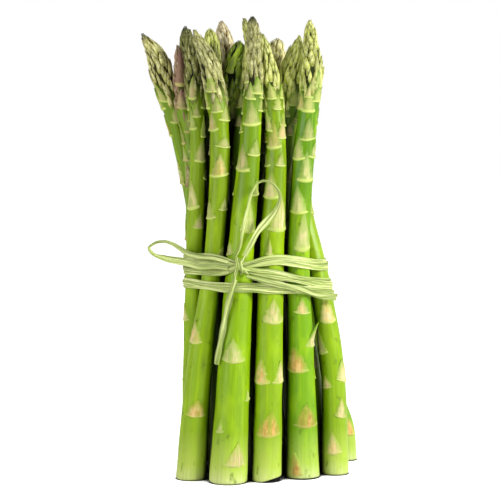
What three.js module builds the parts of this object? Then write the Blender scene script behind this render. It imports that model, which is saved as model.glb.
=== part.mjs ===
// A bundle of green asparagus that stands on its cut ends, tied round the waist with raffia.
// Millimetres, +Z up. The cut ends lie on z = 0 and the front of the bundle faces -Y.
import * as THREE from 'three';

// Every spear is measured at its foot, at the waist, where the tie is, and at the neck.
const waistHeight = 92;
const neckHeight = 145;

// The pointed head: its length, and on a plain head how much it swells, how far up it stays
// full, and how it closes to the apex.
const headLength = 36;
const plainHead = { swell: 0.1, fullness: 2.2, bluntness: 0.7 };

// Facets of a spear: round it, up its stem and up its head.
const spearSides = 12;
const stemRings = 10;
const headRings = 6;

// Raffia is a flat strip where it is wound on the bundle, and is rolled thin where it is free.
const stripWidth = 3;
const stripThickness = 0.8;
const stripGap = 0.55;
const stripStep = 2.5;
const strandDiameter = 1.6;
const strandSides = 8;
const strandStep = 4;

// The hull that the strip is drawn tight on is found from this many points on each spear.
const hullSamples = 24;

// A place on a spear is [x, y, radius], and a tip is [x, y, height]. A bend is one more
// place, [x, y, radius, height], on a spear that curves between the others. A spear whose
// head isn't plain says what differs.
const spears = {
  front_left: {
    foot: [-25.8, -16.8, 6.7], waist: [-16.4, -15.2, 3.9],
    neck: [-13.5, -13.4, 4.2], tip: [-24, -12.8, 189.5],
    bends: [
      [-23.6, -16.8, 5.7, 33], [-20.8, -16.2, 4.9, 60],
      [-15.4, -13, 4.1, 165], [-18.4, -12.9, 4.1, 177],
    ],
    head: { swell: 0.15, fullness: 3.5 },
  },
  front_thick: {
    foot: [-10.1, -24.3, 8], waist: [-5, -18.8, 5.5],
    neck: [-0.6, -15.6, 4.3], tip: [0.2, -15.3, 195],
    bends: [[0.8, -15.5, 3.4, 169], [1, -15.4, 2.9, 180]],
    head: { swell: 0, fullness: 5, bluntness: 0.6 },
  },
  front_middle: {
    foot: [6.2, -21.3, 6.3], waist: [8.2, -17.3, 5.1],
    neck: [10, -12.9, 4.2], tip: [4.6, -8.8, 187.9],
    head: { swell: 0.15, fullness: 3 },
  },
  front_right: {
    foot: [21.6, -13.3, 7.4], waist: [19.6, -13.1, 4.7],
    neck: [22.6, -10.8, 4.4], tip: [24.4, -9.3, 193.8],
    bends: [[20.6, -13.2, 5.3, 60], [25.2, -9.8, 4.1, 170]],
    head: { swell: 0.05, fullness: 3.4 },
  },
  right: {
    foot: [35.8, -6.3, 5.9], waist: [26.9, -4.1, 4.4],
    neck: [23.2, 2.2, 3.8], tip: [30, 4.2, 177],
    bends: [[34.6, -5.8, 5.1, 45], [21.8, -1.3, 4, 115], [26.9, 3.8, 3.3, 165]],
    head: { fullness: 3 },
  },
  left_front: {
    foot: [-25.8, -2.4, 4.9], waist: [-24.3, -8.6, 3.7],
    neck: [-23, -8.2, 3.3], tip: [-26.4, -5.8, 190],
    bends: [[-25.2, -6, 4, 60]],
    head: { swell: 0.2, fullness: 3 },
  },
  left_purple: {
    foot: [-24.6, 9.8, 5], waist: [-24.6, -0.2, 3.5],
    neck: [-26.6, -0.2, 3.3], tip: [-31.6, 0.5, 183.5],
    bends: [[-29.5, 0.1, 3.4, 160], [-30.3, 0.1, 3.3, 168]],
    head: { swell: 0.05, fullness: 2.6 },
  },
  left_leaning: {
    foot: [-28, 20.8, 5], waist: [-22, 8.6, 4],
    neck: [-31.4, 6.6, 3.6], tip: [-46.9, 2.7, 188.5],
    bends: [[-35.5, 6.3, 3.9, 160], [-38, 5, 3.9, 169], [-41.9, 3.9, 4.1, 182]],
    head: { swell: 0.28, fullness: 6, bluntness: 0.6 },
  },
  left_middle: {
    foot: [-16, 25, 5.5], waist: [-16.8, 16.8, 4.6],
    neck: [-26, 13.2, 3.5], tip: [-28.8, 9.4, 191.9],
    bends: [[-27.7, 11, 3.4, 170]],
    head: { swell: 0.1, fullness: 4, bluntness: 0.6 },
  },
  inner_left: {
    foot: [-13.3, -4.8, 5.6], waist: [-15.6, -3, 4.2],
    neck: [-14, -3.3, 3.3], tip: [-17.7, -2.8, 190.5],
    head: { swell: 0, fullness: 8, bluntness: 0.4 },
  },
  inner_front: {
    foot: [-0.6, -7.8, 6.2], waist: [-4.4, -6.9, 4.9],
    neck: [-4.2, -6.3, 4], tip: [-3.2, -4.3, 194.6],
    bends: [[-0.6, -5.6, 3.4, 172], [-0.3, -4.9, 3.3, 185]],
    head: { swell: 0, fullness: 4 },
  },
  inner_slender: {
    foot: [11.2, -4.8, 4.6], waist: [6.4, -6, 3.6],
    neck: [6.2, -4.8, 3.1], tip: [6.6, -1.6, 180],
  },
  inner_right: {
    foot: [28.4, 4, 6], waist: [16.8, -2.1, 4.4],
    neck: [15.2, -1.8, 3.6], tip: [20.4, -2.8, 187.5],
    bends: [[26, 2.4, 5.5, 31], [13.6, -1.9, 3.7, 115], [16.7, -2.4, 4.1, 172]],
    head: { swell: 0.3, fullness: 5.5 },
  },
  core_left: {
    foot: [-12.6, 8.6, 6], waist: [-11.8, 6.1, 4.6],
    neck: [-16, 8, 4.2], tip: [-13, 7.2, 194],
    bends: [[-14.8, 7.4, 4.5, 118], [-15.1, 8, 4.3, 165], [-11.7, 7.6, 4, 182]],
    head: { swell: 0.2, fullness: 5, bluntness: 0.6 },
  },
  core_middle: {
    foot: [1, 7.6, 6.2], waist: [-0.6, 3.7, 4.8],
    neck: [-5.9, 2.4, 4.1], tip: [-5.6, -0.2, 185.4],
    bends: [[-8.2, 0.8, 4.1, 165]],
    head: { swell: 0.05, fullness: 8, bluntness: 0.45 },
  },
  core_right: {
    foot: [14, 10.6, 5.8], waist: [9.4, 6.6, 4.7],
    neck: [6.7, 6.6, 4.2], tip: [10.9, 7.7, 186.6],
    head: { swell: 0, fullness: 8, bluntness: 0.35 },
  },
  outer_right: {
    foot: [41.6, 25.6, 5.6], waist: [21.2, 8.6, 5],
    neck: [17.7, 9.9, 4.2], tip: [17.7, 10.2, 180],
    bends: [[40.4, 24.2, 5.5, 14], [37.2, 20.8, 5.4, 24]],
  },
  back_left: {
    foot: [-2, 23.2, 6.2], waist: [-5.3, 14.7, 5],
    neck: [-6.3, 14.8, 4.2], tip: [-7.3, 16.4, 184],
  },
  back_middle: {
    foot: [12, 26.3, 6], waist: [5.3, 16.3, 4.8],
    neck: [3.7, 15.2, 4.2], tip: [0.2, 14.7, 186],
  },
  back_right: {
    foot: [25.4, 23.2, 5.8], waist: [15.4, 17.9, 4.7],
    neck: [12.4, 17.9, 4.2], tip: [11.2, 17.7, 181],
  },
};

// The knot sits on the front of the thick spear. Its size is [width, depth, height].
const knotCentre = new THREE.Vector3(-5.8, -26.9, 91);
const knotSize = [7.6, 4.2, 8.5];

// Where the strip runs on the bundle: [degrees round from the front towards +X, height, lift].
// The lift takes the last turn over the one below it where they cross at the back.
const woundFrom = new THREE.Vector2(1.5, -1.5);
const upperTurn = [
  [-8, 92.4, 0], [20, 93.4, 0], [70, 90.6, 0], [120, 90, 0],
  [200, 91, 0], [270, 93.3, 0], [334, 92.8, 0],
];
const lowerTurns = [
  [-8, 88.7, 0], [20, 87.6, 0], [80, 82.2, 0], [180, 82.6, 0], [270, 83.1, 0],
  [343, 82.2, 0], [385, 81.6, 0], [420, 80, 0], [450, 78.2, 0], [484, 78.3, 0],
  [500, 79.2, 1.3], [535, 82.5, 1.3], [572, 86.2, 1.3], [588, 87.6, 0],
  [630, 88.6, 0], [694, 89.2, 0],
];

// The routes of the free strands, from the knot out.
const freeStrands = {
  raffia_loop_left: [
    [-10, -27.3, 90.6], [-15.8, -25.3, 91.3], [-21.8, -21.8, 91], [-28.3, -18.3, 92.4],
    [-36.6, -15.3, 93.7], [-42.2, -13.3, 95.8], [-43.6, -12.3, 97.8], [-41, -11.6, 99.8],
    [-36.8, -11.9, 100.4], [-33.8, -12.9, 99.6], [-30.3, -14.9, 97.7], [-27.3, -17.5, 96],
    [-21.8, -21.1, 94.8], [-15.6, -24.3, 94.3], [-10, -26.9, 93],
  ],
  raffia_loop_upper: [
    [-6.4, -27.9, 96.3], [-5.4, -28.3, 98.3], [-3.7, -28.3, 106.6], [-2, -27.8, 114],
    [0.4, -26.8, 122.8], [2.3, -26.3, 125.8], [4.6, -25.9, 126.8], [7.5, -25.3, 126.3],
    [10.1, -24.9, 124.2], [11.6, -24.8, 120.9], [11.2, -25, 117.6], [9.6, -25.3, 114.3],
    [6.7, -25.9, 110.7], [2.5, -26.7, 105.8], [-0.8, -27.5, 99.7], [-3.2, -27.9, 95.6],
  ],
  raffia_tail_left: [
    [-7, -27.7, 85.8], [-8.3, -27.9, 81.6], [-10.8, -26.9, 71.1], [-12.9, -26.5, 60.6],
    [-15, -25.9, 50],
  ],
  raffia_tail_right: [
    [-2.2, -28.1, 87.2], [2.2, -27.7, 86.2], [7.5, -26.3, 84.6], [14.2, -23.9, 82.8],
    [20.1, -21.3, 81.2], [27.8, -16.8, 78.3], [36, -11.8, 76.8],
  ],
};

// A smooth function through rows of [position, value, value, ...].
function smooth(rows) {
  const sorted = [...rows].sort((a, b) => a[0] - b[0]);
  const positions = sorted.map((row) => row[0]);
  const values = sorted.flatMap((row) => row.slice(1));
  const curve = new THREE.CubicInterpolant(positions, values, sorted[0].length - 1);
  return (position) => Array.from(curve.evaluate(position));
}

// The centre and radius of a spear at any height: [x, y, radius].
function spearShape({ foot, waist, neck, tip, bends = [], head = {} }) {
  const height = tip[2];
  const { swell, fullness, bluntness } = { ...plainHead, ...head };
  const stem = smooth([
    [0, ...foot],
    [waistHeight, ...waist],
    [neckHeight, ...neck],
    [height, tip[0], tip[1], neck[2]],
    ...bends.map(([x, y, radius, at]) => [at, x, y, radius]),
  ]);
  const at = (z) => {
    const [x, y, radius] = stem(z);
    const along = THREE.MathUtils.clamp((z - height + headLength) / headLength, 0, 1);
    const swelling = 1 + swell * Math.sin(Math.PI * along);
    const closing = (1 - along ** fullness) ** bluntness;
    return [x, y, radius * swelling * closing];
  };
  return { height, at };
}

// One spear: a turned profile whose rings are then moved onto the spear's own centre line.
function spearGeometry({ height, at }) {
  const neck = height - headLength;
  const heights = [];
  for (let ring = 0; ring <= stemRings; ring += 1) {
    heights.push((neck * ring) / stemRings);
  }
  for (let ring = 1; ring < headRings; ring += 1) {
    heights.push(neck + headLength * Math.sin((Math.PI / 2) * (ring / headRings)));
  }
  const profile = [new THREE.Vector2(0, 0)];
  for (const z of heights) {
    profile.push(new THREE.Vector2(at(z)[2], z));
  }
  profile.push(new THREE.Vector2(0, height));
  const geometry = new THREE.LatheGeometry(profile, spearSides);
  geometry.rotateX(Math.PI / 2);
  const position = geometry.attributes.position;
  for (let i = 0; i < position.count; i += 1) {
    const z = position.getZ(i);
    const [x, y] = at(THREE.MathUtils.clamp(z, 0, height));
    position.setXY(i, position.getX(i) + x, position.getY(i) + y);
  }
  return geometry;
}

// The convex outline that a tight strip follows at one height, anticlockwise from above.
function bundleHull(shapes, z) {
  const points = [];
  for (const shape of shapes) {
    const [x, y, radius] = shape.at(z);
    for (let i = 0; i < hullSamples; i += 1) {
      const turn = (2 * Math.PI * i) / hullSamples;
      points.push(new THREE.Vector2(x + radius * Math.cos(turn), y + radius * Math.sin(turn)));
    }
  }
  points.sort((a, b) => a.x - b.x || a.y - b.y);
  const turnsLeft = (a, b, c) => (b.x - a.x) * (c.y - a.y) - (b.y - a.y) * (c.x - a.x) > 0;
  const chain = (ordered) => {
    const kept = [];
    for (const point of ordered) {
      while (kept.length > 1 && !turnsLeft(kept.at(-2), kept.at(-1), point)) {
        kept.pop();
      }
      kept.push(point);
    }
    return kept.slice(0, -1);
  };
  return [...chain(points), ...chain([...points].reverse())];
}

// How far the hull is from the middle of the winding, in one direction.
function hullReach(hull, direction) {
  let reach = 0;
  hull.forEach((start, i) => {
    const from = start.clone().sub(woundFrom);
    const to = hull[(i + 1) % hull.length].clone().sub(woundFrom);
    const side = to.clone().sub(from);
    const facing = direction.cross(side);
    const distance = from.cross(side) / facing;
    const share = from.cross(direction) / facing;
    if (facing !== 0 && share >= 0 && share <= 1 && distance > reach) {
      reach = distance;
    }
  });
  return reach;
}

// The route of a strip that lies flat on the bundle, with its flat side facing in.
class WoundRoute extends THREE.CatmullRomCurve3 {
  computeFrenetFrames(segments) {
    const frames = { tangents: [], normals: [], binormals: [] };
    for (let i = 0; i <= segments; i += 1) {
      const tangent = this.getTangentAt(i / segments);
      const point = this.getPointAt(i / segments);
      const outward = new THREE.Vector3(point.x - woundFrom.x, point.y - woundFrom.y, 0);
      outward.addScaledVector(tangent, -outward.dot(tangent)).normalize();
      frames.tangents.push(tangent);
      frames.normals.push(outward);
      frames.binormals.push(new THREE.Vector3().crossVectors(tangent, outward));
    }
    return frames;
  }
}

function woundRoute(shapes, rows) {
  const course = smooth(rows);
  const first = rows[0][0];
  const last = rows.at(-1)[0];
  const degreesPerPoint = 6;
  const count = Math.round((last - first) / degreesPerPoint);
  const points = [];
  for (let i = 0; i <= count; i += 1) {
    const degrees = first + ((last - first) * i) / count;
    const [z, lift] = course(degrees);
    const turn = THREE.MathUtils.degToRad(degrees);
    const direction = new THREE.Vector2(Math.sin(turn), -Math.cos(turn));
    const edges = [z - stripWidth / 2, z + stripWidth / 2];
    const reach = Math.max(...edges.map((edge) => hullReach(bundleHull(shapes, edge), direction)));
    const place = direction.multiplyScalar(reach + stripGap + stripThickness / 2 + lift).add(woundFrom);
    points.push(new THREE.Vector3(place.x, place.y, z));
  }
  return new WoundRoute(points);
}

function stripGeometry(route) {
  const x = stripThickness / 2;
  const y = stripWidth / 2;
  const corners = [[-x, -y], [x, -y], [x, y], [-x, y]].map((corner) => new THREE.Vector2(...corner));
  const steps = Math.round(route.getLength() / stripStep);
  return new THREE.ExtrudeGeometry(new THREE.Shape(corners), { steps, extrudePath: route });
}

function strandGeometry(places) {
  const route = new THREE.CatmullRomCurve3(places.map((place) => new THREE.Vector3(...place)));
  const corners = [];
  for (let i = 0; i < strandSides; i += 1) {
    const turn = (2 * Math.PI * i) / strandSides;
    corners.push(new THREE.Vector2(Math.cos(turn), Math.sin(turn)).multiplyScalar(strandDiameter / 2));
  }
  const steps = Math.round(route.getLength() / strandStep);
  return new THREE.ExtrudeGeometry(new THREE.Shape(corners), { steps, extrudePath: route });
}

const bundle = new THREE.Group();

function addPiece(name, geometry, color, roughness) {
  const material = new THREE.MeshStandardMaterial({ color, roughness, metalness: 0 });
  const mesh = new THREE.Mesh(geometry, material);
  mesh.name = name;
  bundle.add(mesh);
  return mesh;
}

const stemGreen = '#8fb52e';
const purpleGreen = '#7d6a52';
const raffiaGreen = '#a9bd78';
const stemRoughness = 0.45;
const raffiaRoughness = 0.8;

const shapes = [];
for (const [name, places] of Object.entries(spears)) {
  const shape = spearShape(places);
  shapes.push(shape);
  const color = name === 'left_purple' ? purpleGreen : stemGreen;
  addPiece(`spear_${name}`, spearGeometry(shape), color, stemRoughness);
}

const upperStrip = stripGeometry(woundRoute(shapes, upperTurn));
const lowerStrip = stripGeometry(woundRoute(shapes, lowerTurns));
addPiece('raffia_wrap_upper', upperStrip, raffiaGreen, raffiaRoughness);
addPiece('raffia_wrap_lower', lowerStrip, raffiaGreen, raffiaRoughness);

const knot = addPiece('raffia_knot', new THREE.SphereGeometry(0.5, 12, 8), raffiaGreen, raffiaRoughness);
knot.position.copy(knotCentre);
knot.scale.set(...knotSize);

for (const [name, places] of Object.entries(freeStrands)) {
  addPiece(name, strandGeometry(places), raffiaGreen, raffiaRoughness);
}

export default bundle;
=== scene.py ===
import math
import random
from functools import partial

import bpy
import numpy as np
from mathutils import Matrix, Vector


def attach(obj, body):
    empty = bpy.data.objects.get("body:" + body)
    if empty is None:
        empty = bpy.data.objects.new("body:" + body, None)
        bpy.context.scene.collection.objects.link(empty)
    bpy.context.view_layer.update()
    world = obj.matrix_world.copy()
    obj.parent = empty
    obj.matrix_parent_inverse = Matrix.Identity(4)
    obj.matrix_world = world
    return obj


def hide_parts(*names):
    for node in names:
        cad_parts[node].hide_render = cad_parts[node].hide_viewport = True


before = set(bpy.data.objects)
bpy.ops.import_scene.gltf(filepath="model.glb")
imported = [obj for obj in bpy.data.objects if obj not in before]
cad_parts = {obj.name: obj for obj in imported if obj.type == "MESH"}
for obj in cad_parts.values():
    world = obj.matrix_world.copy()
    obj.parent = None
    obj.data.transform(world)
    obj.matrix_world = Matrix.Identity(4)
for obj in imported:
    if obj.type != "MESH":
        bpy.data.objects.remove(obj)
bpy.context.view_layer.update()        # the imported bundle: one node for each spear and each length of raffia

mm = 0.001  # everything below is in millimetres
goldenAngle = 137.5  # degrees from one scale leaf to the next, up every spear
seeds = {"free": 11, "wound": 31, "knot": 51, "spear": 1000}  # for the random draws


def newObject(name, data):
    made = bpy.data.objects.new(name, data)
    bpy.context.scene.collection.objects.link(made)
    return made


# Camera first: level with the heads, well back from the bundle, and looking a little down.
cameraLook = {
    "place": (-0.8, -800.3, 160),
    "target": (-0.8, -0.3, 96.01),
    "lens": 134.25,
    "sensor": 36,
    "farthest": 20,  # in metres
}

cameraData = bpy.data.cameras.new("camera")
cameraData.lens = cameraLook["lens"]
cameraData.sensor_width = cameraLook["sensor"]
cameraData.clip_end = cameraLook["farthest"]
camera = newObject("camera", cameraData)
camera.location = Vector(cameraLook["place"]) * mm
aim = (Vector(cameraLook["target"]) - Vector(cameraLook["place"])).normalized()
camera.rotation_euler = aim.to_track_quat("-Z", "Y").to_euler()
bpy.context.scene.camera = camera
print("camera set")


# Curves through given rows, and directions round the bundle.

def smoothThrough(at, values):
    # A smooth function through rows of values, its slopes taken from the rows on each side.
    at, values = np.array(at, float), np.array(values, float)
    slopes = np.gradient(values, at, axis=0)

    def curve(where):
        where = np.clip(np.asarray(where, float), at[0], at[-1])
        i = np.clip(np.searchsorted(at, where) - 1, 0, len(at) - 2)
        span = (at[i + 1] - at[i])[..., None]
        t = (where - at[i])[..., None] / span
        start = (1 + 2 * t) * (1 - t) ** 2 * values[i] + t * (1 - t) ** 2 * span * slopes[i]
        end = t * t * (3 - 2 * t) * values[i + 1] - t * t * (1 - t) * span * slopes[i + 1]
        return start + end

    return curve


def facingWay(degrees):
    # The level direction that faces so many degrees round from the front towards +X.
    turn = np.radians(degrees)
    return np.stack([np.sin(turn), -np.cos(turn), np.zeros_like(turn)], -1)


def wobble(rng, where, size, waves=4):
    # A gentle seeded wander, about -1 to 1, whose swings are roughly size long.
    total = np.zeros_like(np.asarray(where, float))
    for _ in range(waves):
        total += np.sin(where * 2 * math.pi / (size * rng.uniform(0.6, 1.7)) + rng.uniform(0, 6.3))
    return total / waves ** 0.5


def unit(rows):
    return rows / np.linalg.norm(rows, axis=1, keepdims=True)


def alongRoute(route):
    # How far along a route each of its points is.
    return np.concatenate([[0], np.cumsum(np.linalg.norm(np.diff(route, axis=0), axis=1))])


# Meshes: each part is a stack of rings, closed round and capped at both ends.

def addPart(parts, rings, **attributes):
    parts.append({"rings": rings, "attributes": attributes})


def pointValues(*values):
    # Three values for every point of a part, from numbers and from arrays that spread over it.
    return np.stack(np.broadcast_arrays(*values), -1)


def ringFaces(rows, columns):
    down, across = np.meshgrid(np.arange(rows - 1), np.arange(columns), indexing="ij")
    turn = (across + 1) % columns
    sides = np.stack([down * columns + across, down * columns + turn,
                      (down + 1) * columns + turn, (down + 1) * columns + across], -1).reshape(-1, 4)
    i = np.arange(columns // 2 - 1)  # a cap is a ladder of quads from one side to the other
    firstCap = np.stack([i, columns - 1 - i, columns - 2 - i, i + 1], -1)
    lastCap = np.stack([i, i + 1, columns - 2 - i, columns - 1 - i], -1) + (rows - 1) * columns
    return np.concatenate([sides, firstCap, lastCap])


def buildPiece(name, parts, material, replaced, sharpest=60):
    points, faces, count = [], [], 0
    for part in parts:
        rows, columns = part["rings"].shape[:2]
        points.append(part["rings"].reshape(-1, 3))
        faces.append(ringFaces(rows, columns) + count)
        count += rows * columns
    mesh = bpy.data.meshes.new(name)
    mesh.from_pydata((np.concatenate(points) * mm).tolist(), [], np.concatenate(faces).tolist())
    for key in parts[0]["attributes"]:
        values = np.concatenate([
            np.broadcast_to(part["attributes"][key], part["rings"].shape).reshape(-1, 3)
            for part in parts])
        layer = mesh.attributes.new(key, "FLOAT_VECTOR", "POINT")
        layer.data.foreach_set("vector", values.astype(np.float32).ravel())
    mesh.shade_smooth()
    mesh.set_sharp_from_angle(angle=math.radians(sharpest))
    mesh.materials.append(material)
    piece = newObject(name, mesh)
    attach(piece, "root")
    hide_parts(replaced)
    return piece


# Materials: one helper adds a node, with its settings and what is linked to it.

def hexColour(text):
    # An sRGB hex colour as the linear numbers that a shader takes.
    channels = [int(text[i:i + 2], 16) / 255 for i in (1, 3, 5)]
    linear = [c / 12.92 if c <= 0.04045 else ((c + 0.055) / 1.055) ** 2.4 for c in channels]
    return (*linear, 1)


def addNode(tree, kind, inputs=None, stops=None, **settings):
    # An input is a number, a hex colour, or the node or socket that it is linked from.
    node = tree.nodes.new("ShaderNode" + kind)
    for key, value in settings.items():
        setattr(node, key, value)
    for key, value in (inputs or {}).items():
        if isinstance(value, bpy.types.Node):
            value = next(socket for socket in value.outputs if socket.enabled)
        if isinstance(value, bpy.types.NodeSocket):
            tree.links.new(value, node.inputs[key])
        else:
            node.inputs[key].default_value = hexColour(value) if isinstance(value, str) else value
    if stops:
        ramp = node.color_ramp.elements
        while len(ramp) < len(stops):
            ramp.new(0.5)
        for element, (place, colour) in zip(ramp, stops):
            element.position = place
            element.color = hexColour(colour)
    return node


def layOver(add, under, over, value, low, high, most=1.0):
    # Lay one colour over another: not at all where value is low, and the most where it is high.
    share = add("MapRange", {0: value, 1: low, 2: high, 3: 0.0, 4: most})
    return add("Mix", {0: share, 6: under, 7: over}, data_type="RGBA")


def laidNoise(add, where, scale, detail):
    # Noise laid over an attribute; scale is how many lumps there are to a millimetre, each way.
    laid = add("Mapping", {"Vector": where, "Scale": scale})
    return add("TexNoise", {"Vector": laid, "Scale": 1.0, "Detail": detail})


def newMaterial(name):
    # A new material, and what adds nodes and layers to it.
    material = bpy.data.materials.new(name)
    material.use_nodes = True
    material.node_tree.nodes.clear()
    add = partial(addNode, material.node_tree)
    return material, add, partial(layOver, add), partial(laidNoise, add)


# The spears' own shapes, read from the frame.

headLength = 36  # the head is the top of a spear
tallest = 195  # the height of the tallest spear
ringDepth = 0.06  # points this near a height belong to the ring there


def readSpear(node):
    # Every ring of the CAD spear is level, so its box gives the middle and the radius there. The
    # radius is smoothed as its square, which rounds the tip off.
    corners = np.array([v.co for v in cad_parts[node].data.vertices]) / mm
    rows = []
    for height in np.unique(np.round(corners[:, 2], 1)):
        ring = corners[abs(corners[:, 2] - height) < ringDepth]
        low, high = ring.min(0), ring.max(0)
        rows.append([height, (low[0] + high[0]) / 2, (low[1] + high[1]) / 2, (high[0] - low[0]) / 2])
    rows = np.array(rows)
    middle = smoothThrough(rows[:, 0], rows[:, 1:3])
    section = smoothThrough(rows[:, 0], rows[:, 3:] ** 2)

    def centre(z):
        z = np.asarray(z, float)
        return np.concatenate([middle(z), z[..., None]], -1)

    def radius(z):
        return np.sqrt(np.maximum(section(z)[..., 0], 0))

    return {"tip": rows[-1, 0], "neck": rows[-1, 0] - headLength, "centre": centre, "radius": radius}


spearShapes = {name: readSpear(name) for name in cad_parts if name.startswith("spear_")}
print("read", len(spearShapes), "spears from the frame")


# Raffia: a flat split leaf, thin at its edges and creased along its length.

raffiaLook = {
    "thickness": 0.42,
    "edge": 0.1,  # the thickness at its edges
    "crease": 0.22, "waves": 1.4,  # how deep it is creased, and in how many waves across
    "ridge": (0.06, 9),  # how deep the ridges on them are, and how close
    "ripple": 0.05,  # how far the edges rise and fall
    "uneven": 0.1,  # the share of its width that comes and goes
    "swings": (14, 30, 5),  # how far along it the width, the creases and the edges wander
    "step": 0.8, "across": 9,  # from one row of points to the next, and points in a row
}


def ribbon(parts, route, outward, width, seed, dye, widths=((0, 1), (1, 1)), crease=1.0):
    # route and outward are rows of points and of the ways that the flat side faces. Dye is how
    # much the strand took up, from 0, pale, to 1, deep green.
    rng = random.Random(seed)
    widthSwing, creaseSwing, edgeSwing = raffiaLook["swings"]
    tangent = unit(np.gradient(route, axis=0))
    normal = unit(outward - (outward * tangent).sum(1, keepdims=True) * tangent)
    side = np.cross(tangent, normal)
    along = alongRoute(route)
    half = width / 2 * (1 + raffiaLook["uneven"] * wobble(rng, along, widthSwing))
    half = half * np.interp(along / along[-1], *zip(*widths))
    u = np.linspace(-1, 1, raffiaLook["across"])
    wander = wobble(rng, along, creaseSwing)[:, None]
    fold = raffiaLook["crease"] * crease * np.cos(math.pi * (u[None] * raffiaLook["waves"] + 0.5 * wander))
    deep, close = raffiaLook["ridge"]
    ridges = deep * np.sin(close * u[None] + 2 * wander)
    ridges = ridges + raffiaLook["ripple"] * wobble(rng, along, edgeSwing)[:, None] * u[None]
    thick = raffiaLook["edge"] + (raffiaLook["thickness"] - raffiaLook["edge"]) * (1 - u[None] ** 4)
    level = (fold + ridges)[..., None] * normal[:, None]
    flat = route[:, None] + (half[:, None] * u[None])[..., None] * side[:, None]
    offset = (thick / 2)[..., None] * normal[:, None]
    rings = np.concatenate([flat + level + offset, (flat + level - offset)[:, ::-1]], 1)
    across = np.broadcast_to(np.concatenate([u, u[::-1]]), rings.shape[:2])
    addPart(parts, rings, strand=pointValues(across * half[:, None], along[:, None], rng.random()),
            dyed=pointValues(dye, np.abs(across), 0))


def evenRoute(points, step=raffiaLook["step"]):
    # Points a step apart on a smooth line through the given ones.
    points = np.array(points, float)
    at = alongRoute(points)
    line = smoothThrough(at, points)
    return line(np.linspace(0, at[-1], round(at[-1] / step) + 1))


def makeRaffiaSkin():
    # Raffia: a strip split from a dried palm leaf and dyed pale green. It is matt and papery, with
    # long fibres that catch the light in pale lines and leave darker green lines between them.
    material, add, lay, noise = newMaterial("dyed split raffia")
    strand = add("Attribute", attribute_name="strand").outputs["Vector"]
    dyed = add("Attribute", attribute_name="dyed").outputs["Vector"]
    dye, edge, _ = add("SeparateXYZ", {0: dyed}).outputs
    # Fibres in raffia are about 0.2 mm wide; these are drawn about 0.5 mm wide so that they show.
    streak = noise(strand, (2.0, 0.05, 8), 3)
    patch = noise(strand, (0.3, 0.08, 5), 2)
    streakColour = add("ValToRGB", {0: streak}, stops=[
        (0.34, "#3c5012"), (0.42, "#7f9438"), (0.52, "#bac86e"), (0.65, "#eaf0ae")])
    patchColour = add("ValToRGB", {0: patch}, stops=[(0.35, "#96aa50"), (0.65, "#ccd592")])
    colour = add("Mix", {0: 0.3, 6: streakColour, 7: patchColour}, data_type="RGBA")
    # Painted shade: the edges of each strip are darkened, standing in for the dark lines of shade between the
    # strands.
    colour = lay(colour, "#4c6016", edge, 0.75, 1.0, 0.5)
    colour = lay(colour, "#64781e", dye, 0, 1, 0.8)
    bump = add("Bump", {"Height": streak, "Strength": 0.6, "Distance": 0.12 * mm})
    surface = add("BsdfPrincipled", {
        "Base Color": colour, "Roughness": 0.62, "IOR": 1.5, "Normal": bump})
    add("OutputMaterial", {"Surface": surface})
    return material


raffiaSkin = makeRaffiaSkin()

# The free strands, from the knot out. Rolls are [share along, degrees]: 0 shows the flat side to
# the front, and 90 shows the edge. Widths are [share along, how many times the width].
freeStrands = {
    "raffia_loop_left": {
        "route": [
            (-10, -27.3, 90.6), (-15.8, -25.3, 91.3), (-21.8, -21.8, 91), (-28.3, -18.3, 92.4),
            (-36.6, -15.3, 93.7), (-42.2, -13.3, 95.8), (-43.6, -12.3, 97.8), (-41, -11.6, 99.8),
            (-36.8, -11.9, 100.4), (-33.8, -12.9, 99.6), (-30.3, -14.9, 97.7), (-27.3, -17.5, 96),
            (-21.8, -21.1, 94.8), (-15.6, -24.3, 94.3), (-10, -26.9, 93),
        ],
        "rolls": [(0, 0), (0.25, 5), (0.42, 50), (0.5, 80), (0.6, 62), (0.75, 35), (1, 10)],
        "width": 2.9, "end": "object", "dye": 0.0,
        "widths": [(0, 0.7), (0.15, 1.2), (0.5, 1), (0.85, 0.85), (1, 0.6)],
    },
    "raffia_loop_upper": {
        "route": [
            (-6.4, -27.9, 96.3), (-5.4, -28.3, 98.3), (-3.7, -28.3, 106.6), (-2, -27.8, 114),
            (0.4, -26.8, 122.8), (2.3, -26.3, 125.8), (4.6, -25.9, 126.8), (7.5, -25.3, 126.3),
            (10.1, -24.9, 124.2), (11.6, -24.8, 120.9), (11.2, -25, 117.6), (9.6, -25.3, 114.3),
            (6.7, -25.9, 110.7), (2.5, -26.7, 105.8), (-0.8, -27.5, 99.7), (-3.2, -27.9, 95.6),
        ],
        "rolls": [(0, 65), (0.25, 65), (0.42, 80), (0.55, 78), (0.66, 35), (0.75, 5), (1, 0)],
        "width": 2.8, "end": "object", "dye": 0.25,
        "widths": [(0, 0.6), (0.15, 0.9), (0.8, 1), (1, 0.7)],
    },
    "raffia_tail_left": {
        "route": [
            (-7, -27.7, 85.8), (-8.3, -27.9, 81.6), (-10.8, -26.9, 71.1), (-12.9, -26.5, 60.6),
            (-15, -25.9, 50),
        ],
        "rolls": [(0, 20), (0.5, 0), (1, 30)],
        "width": 2.6, "end": "bare", "dye": 0.2, "widths": [(0, 0.7), (0.2, 1), (1, 0.9)],
    },
    "raffia_tail_right": {
        "route": [
            (-2.2, -28.1, 87.2), (2.2, -27.7, 86.2), (7.5, -26.3, 84.6), (14.2, -23.9, 82.8),
            (20.1, -21.3, 81.2), (27.8, -16.8, 78.3), (36, -11.8, 76.8),
        ],
        "rolls": [(0, 10), (0.5, 0), (1, 10)],
        "width": 2.8, "end": "bare", "dye": 0.45, "widths": [(0, 0.6), (0.3, 0.9), (1, 1.15)],
    },
}

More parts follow.
